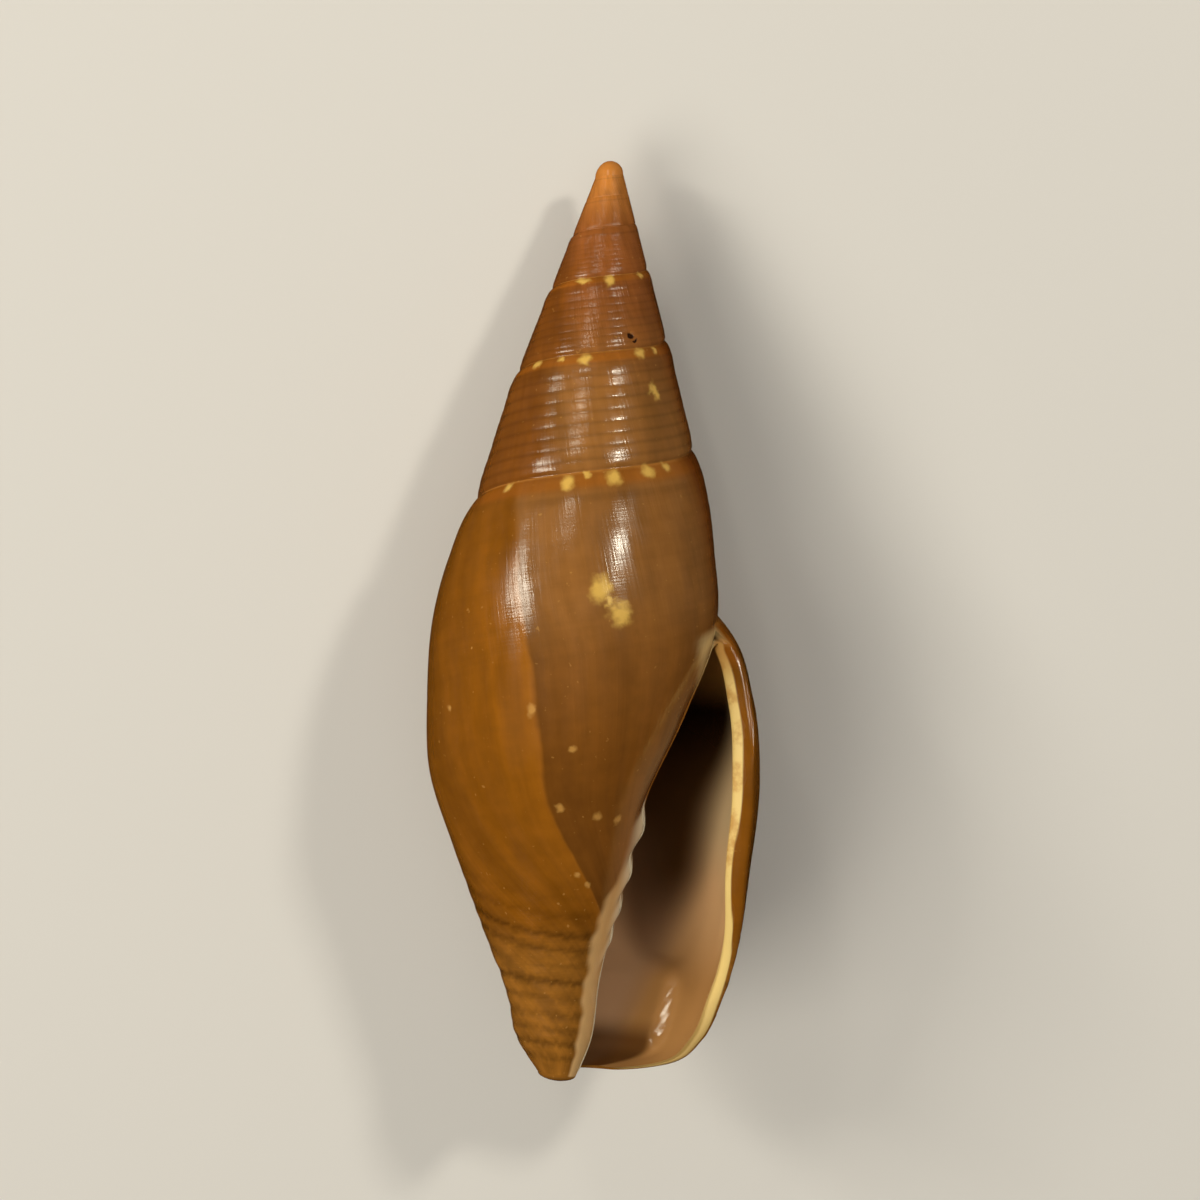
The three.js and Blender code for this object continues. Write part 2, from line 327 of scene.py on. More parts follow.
# Painted shade down the right side of the older whorls
SIDE_SHADE_TURNS = (0.13, 0.05, 0, 0.92)
SIDE_SHADE_GROWTH = (-0.5, -0.6)
SIDE_SHADE_DEPTHS = (5.0, 8.0)

# Streaks: fineness along the growth and down the rows, and detail; noise: fineness and detail
STREAK_WAVER = (0.5, 0.5, 0)
WAVER_NOISE = (600, 2)
BROAD_STREAKS = (16, 0.7, 3)
BROAD_SHADES = (0.3, 0.7, 0.84, 1.16)
FINE_STREAKS = (90, 1.2, 3)
FINE_SHADES = (0.25, 0.75, 0.95, 1.05)
SPIRAL_STREAKS = (2, 45, 2)
SPIRAL_SHADES = (0.25, 0.75, 0.98, 1.02)
MOTTLE_NOISE = (1100, 3)
MOTTLE_SHADES = (0.3, 0.7, 0.94, 1.06)

# Band under each suture
BAND_DEPTHS = (4.0, 6.0)
BAND_ROWS = (0.12, 0.06, 0, 0.7)
LINE_ROWS = (0.018, 0.004, 0, 0.5)
UNDER_START_ROWS = (0.11, 0.14)
UNDER_END_ROWS = (0.2, 0.15)
UNDER_SOFTNESS = 0.03
UNDER_SHADE = -0.16

# Edges of the spots, by distance as a share of their half size
WOBBLE_NOISE = (2600, 2)
SPOT_WOBBLE = 0.0004
BLOTCH_WOBBLE = 0.0007
SPOT_EDGE = (1.45, 0.35, 0, 0.95)
BLOTCH_EDGE = (1.55, 0.3, 0, 0.92)
FAINT_EDGE = (1.3, 0.3, 0, 0.75)
PIT_EDGE = (1.2, 0.7)
SPECK_NOISE = (4200, 1)
SPECK_SHARES = (0.72, 0.8, 0, 0.32)

# Steps of the hollow's colours and of its painted light and shade, by depth and by turns inside the lip
# Painted light high up and at the top of the wall, painted shade low down
WALL_HIGH_DEPTHS = (33.0, 29.0)
WALL_LOW_DEPTHS = (32.0, 37.0)
WALL_TOP_DEPTHS = (24.8, 21.8)
MAUVE_TURNS = (0.1, 0.17)
# Painted shade deep inside
DEEP_DEPTHS = (36.0, 31.5)
DEEP_TURNS = (0.095, 0.165)
SOONER_DEPTHS = (29.5, 24.0, 0, 0.06)
DEEP_TOP_DEPTHS = (29.0, 24.0)
BEYOND_TURNS = (0.16, 0.26, 0, 0.65)
BEYOND_DEPTHS = (28.5, 32.0)
PILLAR_TURNS = (0.0, 0.06)
# Painted shade on the pillar side further in
PILLAR_DEEP_TURNS = (0.03, 0.1)
PILLAR_DEEP_DEPTHS = (31.8, 28.8)
CANAL_DEPTHS = (38.1, 39.3, 0, 0.85)
CANAL_TURNS = (0.055, 0.08)

# Steps of the lip, the glaze and the callus
STAIN_NOISE = (950, 4, 0.65)
STAIN_SHARES = (0.44, 0.66, 0, 0.75)
STAIN_DEPTHS = (33.0, 30.5)
STAIN_TOP_DEPTHS = (23.6, 22.0, 0, 0.8)
LIP_LOW_DEPTHS = (36.0, 39.5)
LIP_EDGE = (0.25, 0.75)
WITHIN_TURNS = (0.0, 0.004)
PAD_COVER = 0.85

# Shades of the grooves, and of the flecks and wrinkles between the grooves of the base
GROOVE_SHADE = -0.55
FLECK_NOISE = (1700, 2)
FLECK_SHADES = (0.55, 0.75, 0, 0.14)
FLECK_DEPTHS = (33.0, 35.5)
WRINKLE_RATE = 3.0
WRINKLE_WAVER = (0.3, 0.3, 0)
WRINKLE_NOISE = (4.0, 3)
WRINKLE_SHADES = (0.4, 0.6, -0.06, 0.05)
WRINKLE_DEPTHS = (32.5, 35.0)

# Gloss, and the finest lines, which only bend the reflections; the bump's height is in metres
SHELL_IOR = 1.5
GLOSS_STREAKS = (60, 4, 3)
GLOSS_ROUGHNESS = (0.3, 0.7, 0.14, 0.26)
POLISH_TURNS = (0.0, 0.05)
POLISH = -0.08
LIP_DULLNESS = 0.35
BUMP_STREAKS = (260, 2, 2)
BUMP_SPIRALS = (3, 110, 2)
SPIRAL_SHARE = 0.35
BUMP_STRENGTHS = (0.0, 0.05, 0.5, 0.03)
BUMP_HEIGHT = 0.00002

# Floor, in metres
FLOOR_HALF = 2.0
FLOOR_COLOUR = (0.73, 0.71, 0.72, 1)
FLOOR_ROUGHNESS = 0.7

# View
AIM_ACROSS = 0.60
AIM_DEPTH = 20.06
VIEW_WIDTH = 52.1
VIEW_DISTANCE = 200
VIEW_ROLL_DEGREES = 3.26
SENSOR = 36
NEAR_CLIP = 0.005

# Lights: direction, distance, size across and along the shell, power, and if they show in reflections
LIGHTS = {
    "left_light": ((-0.79, 0.33, 0.61), 0.3, (0.038, 0.11), 0.3, True),
    "upper_left_light": ((-0.77, 0.45, 0.44), 0.3, (0.024, 0.04), 0.05, True),
    "right_light": ((0.5, 0.54, 0.76), 0.3, (0.027, 0.034), 0.26, True),
    "canal_light": ((-0.3, 0.69, 0.655), 0.3, (0.028, 0.036), 0.05, True),
    "top_light": ((-0.65, -0.35, 0.95), 0.6, (0.35, 0.35), 1.6, False),
    "fill_light": ((0.05, 0.0, 1.0), 0.6, (0.35, 0.35), 0.3, False),
}
LIGHT_AIM = (0, 0, 0.006)
WARM_LIGHT = (1, 0.95, 0.78)
WORLD_COLOUR = (1, 0.98, 0.95, 1)
WORLD_STRENGTH = 0.12


def mix(start, end, share):
    return start + (end - start) * share


def clamp(value):
    return np.clip(value, 0, 1)


def smooth(value):
    held = clamp(value)
    return held * held * (3 - 2 * held)


def ramp(value, start, span):
    return smooth((value - start) / span)


def wave(value, size, rate, phase=0):
    return size * np.sin(rate * value + phase)


def bump(distance, width):
    return np.exp(-((distance / width) ** 2))


# Shape of the shell


def suture_depth(turn):
    return SUTURE_DEPTH * WHORL_RATIO**turn


def suture_radius(turn):
    """The spire is a plain cone with a blunt tip, and the last whorl widens less."""

    def slowed(at):
        return SLOWDOWN_SPAN * np.log1p(np.exp((at - SLOWDOWN_TURN) / SLOWDOWN_SPAN))

    early = math.log(WHORL_RATIO)
    growth = early * turn - (early - LATE_WIDENING) * (slowed(turn) - slowed(0))
    return SUTURE_RADIUS * np.exp(growth) + BLUNT_RADIUS * bump(suture_depth(turn), BLUNT_SPAN)


def swell_at(turn, spire, first, middle, last):
    x = turn + 1
    late = first * (2 * x - 1) * (x - 1) + middle * 4 * x * (1 - x) + last * x * (2 * x - 1)
    early = mix(spire, first, smooth((turn - SPIRE_TURN) / (-1 - SPIRE_TURN)))
    return np.where(turn < -1, early, late)


def taper_at(turn, first, middle, last):
    ratio = (last - middle) / (middle - first)
    rise = (last - first) / (ratio**2 - 1)
    x = turn + 1
    early = first * np.exp(np.minimum(x, 0) * rise * 2 * math.log(ratio) / first)
    return np.where(x < 0, early, first + rise * (ratio ** (2 * x) - 1))


def rim_depth(turn):
    return RIM_DEPTH - RIM_RISE * ramp(turn, -RIM_RISE_TURNS, RIM_RISE_TURNS)


def outline(turn):
    """Knots of the whorl's outline at a place of growth: depths and radii."""
    top, bottom = suture_depth(turn), suture_depth(turn + 1)
    top_radius, bottom_radius = suture_radius(turn), suture_radius(turn + 1)
    depths, radii = [top], [top_radius]
    worn = ramp(top, WORN_DEPTH, WORN_SPAN)
    for share, *stages in SWELL:
        depths.append(mix(top, bottom, share))
        radii.append(mix(top_radius, bottom_radius, share) + top_radius * worn * swell_at(turn, *stages))
    for share, *stages in TAPER:
        depths.append(mix(bottom, rim_depth(turn), share))
        radii.append(bottom_radius * taper_at(turn, *stages))
    return np.array(depths), np.array(radii)


def radius_at(turn, depth):
    """Radius of the whorl at a depth: a smooth curve through the knots of its outline."""
    turn, depth = np.broadcast_arrays(np.asarray(turn, float), np.asarray(depth, float))
    depths, radii = outline(turn)
    gaps = np.diff(depths, axis=0)
    secants = np.diff(radii, axis=0) / gaps
    inner = (secants[:-1] * gaps[1:] + secants[1:] * gaps[:-1]) / (gaps[:-1] + gaps[1:])
    tangents = np.concatenate([secants[:1], inner, secants[-1:]])
    knot = (depth > depths[1:-1]).sum(axis=0)

    def pick(table, index):
        return np.take_along_axis(table, index[None], axis=0)[0]

    span = pick(gaps, knot)
    s = clamp((depth - pick(depths, knot)) / span)
    start = pick(radii, knot) * (1 + 2 * s) * (1 - s) ** 2 + pick(tangents, knot) * span * s * (1 - s) ** 2
    end = pick(radii, knot + 1) * s * s * (3 - 2 * s) - pick(tangents, knot + 1) * span * s * s * (1 - s)
    return start + end


def depth_of(turn, row):
    """Depth of a whorl's row: 0 is its upper suture, 1 its lower suture line, 2 the lower rim."""
    side = mix(suture_depth(turn), suture_depth(turn + 1), row)
    base = mix(suture_depth(turn + 1), rim_depth(turn), row - 1)
    return np.where(row <= 1, side, base)


def place(turn, depth, radius):
    angle = 2 * np.pi * turn
    x = radius * np.cos(angle)
    return np.stack([x, -depth - WHORL_LEAN * x, radius * np.sin(angle)], axis=-1)


def swept(turn, row):
    """Place of growth along a growth line, which sweeps back on the base."""
    bend = np.maximum(0, np.minimum(row, SWEEP_END) - SWEEP_START)
    return turn + SWEEP_SLOPE * row + SWEEP_BEND * bend**2


# Relief and masks of the outside


def fold_ridges(turn, depth):
    """Height of the pillar's folds at a place of growth of the mouth."""
    shrink = WHORL_RATIO ** (turn - LIP_TURN)
    return sum(height * shrink * bump(depth - at * shrink, width * shrink) for at, height, width in FOLDS)


def fold_share(turn):
    """How much of the folds comes out round the pillar on the front."""
    return 1 - ramp(turn, PILLAR_TURN, FOLD_REACH)


def spire_grooves(turn, row, depth):
    grooves = (0.5 + 0.5 * np.cos(2 * np.pi * GROOVES_PER_WHORL * row)) ** GROOVE_SHARPNESS
    deep = mix(GROOVE_DEPTH, BODY_GROOVE_DEPTH, ramp(turn, *BODY_FADE))
    worn = ramp(depth, *WORN_DEPTHS)
    size = WHORL_RATIO ** np.minimum(0, turn + 1)
    return grooves * worn * size * deep * (row < LAST_GROOVE_ROW)


def base_grooves(turn, depth):
    """Depth of the grooves round the base, which sag in the middle of the front."""
    fade = 1 - ramp(depth, *SAG_DEPTHS)
    level = depth + BASE_GROOVE_SAG * fade * np.minimum(SAG_LIMIT, ((turn - SAG_TURN) / SAG_TURNS) ** 2)
    wavy = wave(turn, *BASE_WAVE) + wave(turn, *BASE_FINE_WAVE, depth)
    cut = sum(deep * bump(level + wavy - at, BASE_GROOVE_WIDTH) for at, deep in BASE_GROOVES)
    return cut * (1 - BASE_LIP_LOSS * ramp(turn, *BASE_LIP_TURNS))


def suture_cut(turn, row):
    height = suture_depth(turn + 1) - suture_depth(turn)
    above = bump(row * height, SUTURE_CUT_WIDTH)
    below = bump((1 - row) * height, SUTURE_CUT_WIDTH) * (turn < PILLAR_TURN)
    return np.maximum(above, below) * ramp(height, *CUT_HEIGHTS)


def glaze_mask(turn, row):
    """Thin pale layer of the inner lip, which spreads towards the canal."""
    upper_edge = PILLAR_TURN + GLAZE_SPREAD * ramp(row, *GLAZE_ROWS)
    edge = upper_edge + GLAZE_LOW_SPREAD * ramp(row, *GLAZE_LOW_ROWS)
    wavy = wave(row, *GLAZE_WAVE) + wave(row, *GLAZE_FINE_WAVE)
    return (1 - smooth((turn - edge - wavy) / GLAZE_SOFTNESS)) * ramp(row, *GLAZE_TOP_ROWS)


def callus_mask(turn, row):
    """White pad of the inner lip under the top corner of the mouth."""
    edge = PILLAR_TURN + CALLUS_SPREAD * (1 - ramp(row, *CALLUS_ROWS))
    ends = ramp(row, *CALLUS_TOP_ROWS) * (1 - ramp(row, *CALLUS_END_ROWS))
    return (1 - smooth((turn - edge) / CALLUS_SOFTNESS + CALLUS_SHIFT)) * ends


def fold_mask(turn, depth):
    """White crests of the folds where they come out round the pillar."""
    height = fold_ridges(turn + 1, depth) / HIGHEST_FOLD
    return smooth(WHITE_GAIN * height) * (1 - ramp(turn, PILLAR_TURN, WHITE_REACH))


def growth_ridges(turn, row):
    growth = swept(turn, row)
    fine = np.sin(2 * np.pi * FINE_RIDGES * growth + FINE_RIDGE_PHASE + FINE_RIDGE_SLANT * row)
    return np.sin(2 * np.pi * RIDGES * growth) + FINE_RIDGE_SHARE * fine


def relief(turn, row, depth):
    glaze = glaze_mask(turn, row)
    ridges = RIDGE_HEIGHT * growth_ridges(turn, row) * ramp(depth, *RIDGE_DEPTHS)
    folds = fold_ridges(turn + 1, depth) * fold_share(turn) * (row > 1)
    pads = GLAZE_HEIGHT * glaze + CALLUS_HEIGHT * callus_mask(turn, row)
    cuts = base_grooves(turn, depth) * (1 - glaze) + SUTURE_CUT * suture_cut(turn, row)
    return ridges + folds + pads - cuts - spire_grooves(turn, row, depth)


def on_side(turn, row):
    depth = depth_of(turn, row)
    return place(turn, depth, radius_at(turn, depth) + relief(turn, row, depth))


# Edge of the mouth and hollow


def lip_turn(row):
    reach = LIP_REACH * smooth(row / LIP_REACH_ROWS)
    return LIP_TURN + reach - LIP_RETREAT * smooth(row - LIP_RETREAT_ROW)


def edge_line():
    """Turn and row of the mouth's edge by step: down the lip, round its corner, back along the notch."""
    lip_steps = BASE_STEPS - CORNER_STEPS - NOTCH_STEPS
    side_rows = np.arange(SIDE_STEPS) / SIDE_STEPS
    lip_rows = 1 + (1 - CORNER_ROWS) * np.arange(lip_steps) / lip_steps
    angle = np.arange(CORNER_STEPS) * np.pi / 2 / CORNER_STEPS
    corner_rows = 2 - CORNER_ROWS * (1 - np.sin(angle))
    corner_turns = lip_turn(corner_rows) - CORNER_TURNS * (1 - np.cos(angle))
    back = np.arange(NOTCH_STEPS + 1) / NOTCH_STEPS
    notch_turns = mix(lip_turn(2) - CORNER_TURNS, NOTCH_TURN, back)
    turns = np.concatenate([lip_turn(side_rows), lip_turn(lip_rows), corner_turns, notch_turns])
    return turns, np.concatenate([side_rows, lip_rows, corner_rows, np.full(len(back), 2.0)])


def inner_radius(turn, depth):
    shrink = WHORL_RATIO ** (turn - LIP_TURN)
    narrowing = smooth((depth - PILLAR_TIP_DEPTH) / (RIM_DEPTH - PILLAR_TIP_DEPTH))
    core = PILLAR_SLOPE * depth * mix(1, PILLAR_TIP_SHARE, narrowing)
    pillar = np.maximum(radius_at(turn - 1, depth) + GLAZE * shrink, core)
    return pillar + fold_ridges(turn, depth)


def bevel_share(depth):
    """The lip is thick and bevelled above, and thin towards the canal."""
    return 1 - ramp(depth, *BEVEL_DEPTHS)


def canal_ledge(depth, inward):
    """Low shelf inside the canal, with a rounded edge that catches the light."""
    edge = mix(LEDGE_EDGE_ABOVE, LEDGE_EDGE_BELOW, (depth - LEDGE_EDGE_DEPTH) / LEDGE_EDGE_SPAN)
    shelf = smooth((inward - edge) / LEDGE_WIDTH + 0.5) * (1 - ramp(inward, *LEDGE_BACK))
    ends = ramp(depth, LEDGE_TOP, LEDGE_FADE) * (1 - ramp(depth, LEDGE_END, LEDGE_FADE))
    return LEDGE_HEIGHT * shelf * ends


def outer_radius(turn, depth, inward):
    shrink = WHORL_RATIO ** np.minimum(0, turn)
    wall = mix(mix(LIP_WALL, LIP_BEVEL_WALL, bevel_share(depth)), WALL, smooth(inward / LIP_WALL_TURNS))
    rim = smooth((depth - RIM_WALL_DEPTH) / (RIM_DEPTH - RIM_WALL_DEPTH))
    return radius_at(turn, depth) - wall * shrink * mix(1, RIM_WALL_SHARE, rim) - canal_ledge(depth, inward)


def closing(turn, inside, outside):
    """Depth where the hollow closes, between a depth inside it and one outside."""
    open_end, shut_end = inside.copy(), outside.copy()
    for _ in range(CLOSING_ROUNDS):
        middle = (open_end + shut_end) / 2
        free = outer_radius(turn, middle, 1) - inner_radius(turn, middle) > LEAST_HOLLOW
        open_end = np.where(free, middle, open_end)
        shut_end = np.where(free, shut_end, middle)
    return open_end


# Skin


class Skin:
    """Points, faces and the values that the markings read, built up patch by patch."""

    MASKS = ("groove", "glaze", "callus", "fold", "lip", "inward", "pillar")

    def __init__(self):
        self.points = []
        self.masks = {name: [] for name in self.MASKS}
        self.count = 0
        self.faces = []
        self.growth = []

    def add(self, points, **masks):
        """Adds points with their values, and returns their indices."""
        shape = np.shape(points)[:-1]
        flat = np.asarray(points, float).reshape(-1, 3)
        self.points.append(flat)
        for name in self.MASKS:
            values = np.broadcast_to(masks.get(name, 0.0), shape)
            self.masks[name].append(np.asarray(values, float).reshape(-1))
        first = self.count
        self.count += len(flat)
        return first + np.arange(len(flat)).reshape(shape)

    def cover(self, corners, turns, rows):
        """Faces from an array of corner indices, with each corner's turn and row."""
        growth = np.stack([swept(turns, rows), rows, turns], axis=-1)
        self.faces.extend(corners.reshape(-1, corners.shape[-1]).tolist())
        self.growth.append(growth.reshape(-1, 3))

    def grid(self, index, turns, rows):
        """Quads over a grid of points by column and step."""

        def four(table):
            return np.stack([table[:-1, :-1], table[1:, :-1], table[1:, 1:], table[:-1, 1:]], axis=-1)

        self.cover(four(index), four(turns), four(rows))

    def loops(self, index, turns, rows):
        """Bands between closed loops, one loop to a row of the table."""

        def closed(table):
            return np.concatenate([table, table[:, :1]], axis=1)

        self.grid(closed(index), closed(turns), closed(rows))

    def fan(self, loop, centre, turn, row):
        corners = np.stack([np.full(len(loop), centre), np.roll(loop, -1), loop], axis=-1)
        self.cover(corners, np.full(corners.shape, float(turn)), np.full(corners.shape, float(row)))


def side_patch():
    """Turns and rows of the side of every whorl, from suture to suture."""
    along = (np.arange(COLUMNS + 1) - LAST_WHORL) / TURN_STEPS
    row = np.arange(SIDE_STEPS + 1) / SIDE_STEPS
    warp = np.maximum(0, along)[:, None] * (lip_turn(row) - LIP_TURN)[None]
    turns = LIP_TURN - 1 + along[:, None] + warp
    return turns, np.broadcast_to(row, turns.shape)


def base_patch(edge_turns, edge_rows):
    """Turns and rows of the last whorl's base, from the pillar to the edge of the mouth."""
    along = (np.arange(TURN_STEPS + 1) / TURN_STEPS)[:, None]
    u = np.arange(BASE_STEPS + 1) / BASE_STEPS
    pillar_rows = 1 + u * (1 + BASE_CROWDING - BASE_CROWDING * u)
    turns = mix(PILLAR_TURN, edge_turns[None, SIDE_STEPS:], along)
    rows = mix(pillar_rows[None], edge_rows[None, SIDE_STEPS:], along**2)
    return turns, rows


def cover_outside(skin, edge_turns, edge_rows):
    turns, rows = side_patch()
    side_turns, side_rows = turns[:, :-1], rows[:, :-1]
    depth = depth_of(side_turns, side_rows)
    groove = spire_grooves(side_turns, side_rows, depth) / GROOVE_DEPTH
    side = skin.add(on_side(side_turns, side_rows), groove=SPIRE_SHADE * groove)
    base_turns, base_rows = base_patch(edge_turns, edge_rows)
    base_depth = depth_of(base_turns, base_rows)
    base = skin.add(
        on_side(base_turns, base_rows),
        groove=base_grooves(base_turns, base_depth) / DEEPEST_GROOVE,
        glaze=glaze_mask(base_turns, base_rows),
        callus=callus_mask(base_turns, base_rows),
        fold=fold_mask(base_turns, base_depth),
    )
    base[0, 0] = side[COLUMNS, 0]
    lower = np.concatenate([side[TURN_STEPS:, 0], base[1:, 0]])
    skin.grid(np.concatenate([side, lower[:, None]], axis=1), turns, rows)
    skin.grid(base, base_turns, base_rows)
    return side, base


def dome(skin, edge, tip, turn, row):
    """Rounded cap from a closed edge to a tip."""
    start = np.concatenate(skin.points)[edge]
    angles = np.linspace(0, np.pi / 2, DOME_RINGS + 2)[1:-1]
    rings = [edge]
    for angle in angles:
        flat = start * math.cos(angle)
        flat[:, 1] = mix(tip[1], start[:, 1], 1 - math.sin(angle))
        rings.append(skin.add(flat))
    table = np.stack(rings)
    skin.loops(table, np.full(table.shape, float(turn)), np.full(table.shape, float(row)))
    skin.fan(rings[-1], skin.add([tip])[0], turn, row)


def cover_tips(skin, side, base):
    spire_edge = np.concatenate([side[: TURN_STEPS + 1, 0], side[0, 1:][::-1]])
    dome(skin, spire_edge, [0, -POLE_ABOVE_TIP, 0], FIRST_TURN, END_ROW)
    dome(skin, base[::-1, -1], [0, -TIP_DEPTH, 0], CANAL_TIP_TURN, CANAL_TIP_ROW)


def hollow_grid(start, edge_turns, way):
    """Turn, depth and radius of the hollow's loops, and their turns inside the lip."""
    is_lip = np.arange(len(start)) < len(edge_turns)
    ahead_of_lip = np.zeros(len(start))
    ahead_of_lip[is_lip] = edge_turns - LIP_TURN
    x = np.arange(HOLLOW_STEPS + 1) / HOLLOW_STEPS
    inward = (HOLLOW_TURNS * mix(x**3, x, HOLLOW_EVENNESS))[:, None]
    turn = LIP_TURN - inward
    opened = clamp(1 - inward / (LIP_TURN - NOTCH_TURN))
    middle = suture_depth(turn + HOLLOW_MIDDLE)
    top = closing(turn, middle, suture_depth(turn))
    shut = closing(turn, middle, np.full(turn.shape, RIM_DEPTH))
    bottom = np.where(opened > 0, rim_depth(turn) - GLAZE, shut)
    depth = mix(top, bottom, way[None])
    turns = turn + ahead_of_lip[None] * opened
    inner = inner_radius(turns, depth)
    outer = np.maximum(outer_radius(turns, depth, inward), inner + LEAST_HOLLOW)
    return turns, depth, np.where(is_lip[None], outer, inner), inward


def white_masks(turns, depth, is_pillar):
    return {
        "fold": is_pillar * smooth(PILLAR_WHITE_GAIN * fold_ridges(turns, depth) / HIGHEST_FOLD),
        "callus": is_pillar * (1 - ramp(depth, *PILLAR_CALLUS_DEPTHS)),
        "glaze": is_pillar * ramp(depth, *PILLAR_GLAZE_DEPTHS),
    }


def lip_cream(depth, share):
    """Cream of the lip's rim, by the share of the way from the outside to the hollow."""
    on_bevel = BROWN_ON_BEVEL * bevel_share(depth)
    at_top = BROWN_AT_TOP * (1 - ramp(depth, *BROWN_TOP_DEPTHS))
    patch = BROWN_PATCH * bump(depth - BROWN_PATCH_DEPTH, BROWN_PATCH_SPAN)
    brown = BROWN_REACH + on_bevel + at_top + patch
    return ramp(share, brown, CREAM_SOFTNESS)


def rounded_lip(turn, depth, radius, angle, share):
    edge_radius = radius_at(turn, depth)
    chips = 1 + wave(depth, *CHIPS) * wave(depth, *CHIP_GAPS)
    ahead = LIP_ROUNDING * chips * math.sin(angle) / (2 * np.pi * edge_radius)
    return place(turn + ahead, depth, mix(edge_radius, radius, share))


def cover_mouth(skin, side, base, edge_turns):
    """Lip, pillar side and hollow: loops that follow the edge of the mouth and wind inwards."""
    rim = np.concatenate([side[COLUMNS], base[-1], base[0, 1:][::-1]])
    is_lip = np.arange(len(rim)) < len(edge_turns)
    is_pillar = 1.0 - is_lip
    start = np.concatenate(skin.points)[rim]
    mouth_top = suture_depth(LIP_TURN)
    rim_depths = -start[:, 1] - WHORL_LEAN * start[:, 0]
    way = clamp((rim_depths - mouth_top) / (RIM_DEPTH - RIM_RISE - mouth_top))
    turns, depth, radius, inward = hollow_grid(start, edge_turns, way)
    hollow = place(turns, depth, radius)
    whites = white_masks(turns, depth, is_pillar)
    edge_whites = {name: values[0] for name, values in whites.items()}
    loops = [rim]
    for step in range(1, LIP_LOOPS + 1):
        angle = np.pi * step / (LIP_LOOPS + 1)
        share = (1 - math.cos(angle)) / 2
        lip = rounded_lip(turns[0], depth[0], radius[0], angle, share)
        points = np.where(is_lip[:, None], lip, mix(start, hollow[0], share))
        cream = is_lip * lip_cream(depth[0], share)
        loops.append(skin.add(points, lip=cream, pillar=is_pillar, **edge_whites))
    inside = skin.add(
        hollow,
        lip=is_lip[None] * (1 - smooth(inward / CREAM_FADE)),
        inward=np.minimum(1, inward) + 0 * depth,
        pillar=is_pillar + 0 * depth,
        **whites,
    )
    table = np.concatenate([np.stack(loops), inside])
    loop_turns = np.concatenate([np.repeat(turns[:1], LIP_LOOPS + 1, axis=0), turns])
    skin.loops(table, loop_turns, np.broadcast_to(2 * way, table.shape))
    centre = skin.add([hollow[-1].mean(axis=0)], inward=1)[0]
    skin.fan(inside[-1], centre, turns[-1, 0], END_ROW)


# Places of the markings


def on_front(across, whorl, depth_at):
    """Turn and point on a whorl's front, some way right of the axis; the depth may follow the turn."""
    turn = whorl + FRONT_TURN
    for _ in range(FRONT_ROUNDS):
        depth = depth_at(turn)
        radius = float(radius_at(turn, depth))
        share = max(-FRONT_LIMIT, min(FRONT_LIMIT, across / radius))
        turn = whorl - 1 + math.acos(share) / (2 * math.pi)
    return turn, place(turn, depth, radius)


def front_point(across, depth):
    """Point on the front of the shell, some way right of the axis and at a depth."""
    for whorl in range(0, -FRONT_WHORLS, -1):
        turn, point = on_front(across, whorl, lambda turn: depth)
        if suture_depth(turn) <= depth + FRONT_SLACK:
            break
    return point


def suture_point(across, whorl, drop):
    """Point on the front, a little way below the suture above a whorl."""
    return on_front(across, whorl, lambda turn: suture_depth(turn) + drop)[1]


def side_point(turn, row):
    depth = float(depth_of(turn, row))
    return place(turn, depth, radius_at(turn, depth))


def hidden_marks():
    """Spots along the sutures, and a few blotches, on the sides away from the front."""
    chance = random.Random(HIDDEN_SEED)
    spots = []
    blotches = []
    for whorl in range(0, -HIDDEN_WHORLS, -1):
        turn = whorl + HIDDEN_START
        while turn < whorl + HIDDEN_END:
            size = WHORL_RATIO ** (HIDDEN_SHRINK * whorl) * chance.uniform(*HIDDEN_SIZES)
            point = side_point(turn, chance.uniform(*HIDDEN_ROWS))
            spots.append((point, size, size * chance.uniform(*HIDDEN_STRETCH)))
            turn += chance.uniform(*HIDDEN_GAPS)
    for turn, row in HIDDEN_BLOTCHES:
        width = chance.uniform(*BLOTCH_WIDTHS)
        blotches.append((side_point(turn, row), width, chance.uniform(*BLOTCH_HEIGHTS)))
    return spots, blotches


def press_pits(points):
    """Small pits are pressed into the spire, by a share of its radius."""
    for across, depth, *_ in PITS:
        centre = front_point(across, depth)
        share = bump(np.linalg.norm(points - centre, axis=1), PIT_RADIUS)[:, None]
        points = points * (1 - share * PIT_SHARE * np.array([1, 0, 1]))
    return points


# Seat on the floor, and mesh


def seat_tilt():
    return Matrix.Rotation(math.radians(-SEAT_TILT_DEGREES), 4, "X")


def seat_matrix(points, low, high):
    """Transform from the spiral's frame to the row frame, which fits the CAD box at its middle and top."""
    turned = seat_tilt() @ Matrix.Scale(1 / MM_PER_METRE, 4)
    placed = points @ np.array(turned.to_3x3()).T
    middle = (placed.min(axis=0) + placed.max(axis=0)) / 2
    shift = Vector((
        (low.x + high.x) / 2 - middle[0],
        (low.y + high.y) / 2 - middle[1],
        high.z - placed[:, 2].max(),
    ))
    return Matrix.Translation(shift) @ turned


def moved(matrix, points):
    return np.asarray(points) @ np.array(matrix.to_3x3()).T + np.array(matrix.translation)


def add_object(name, data):
    made = bpy.data.objects.new(name, data)
    bpy.context.scene.collection.objects.link(made)
    return made


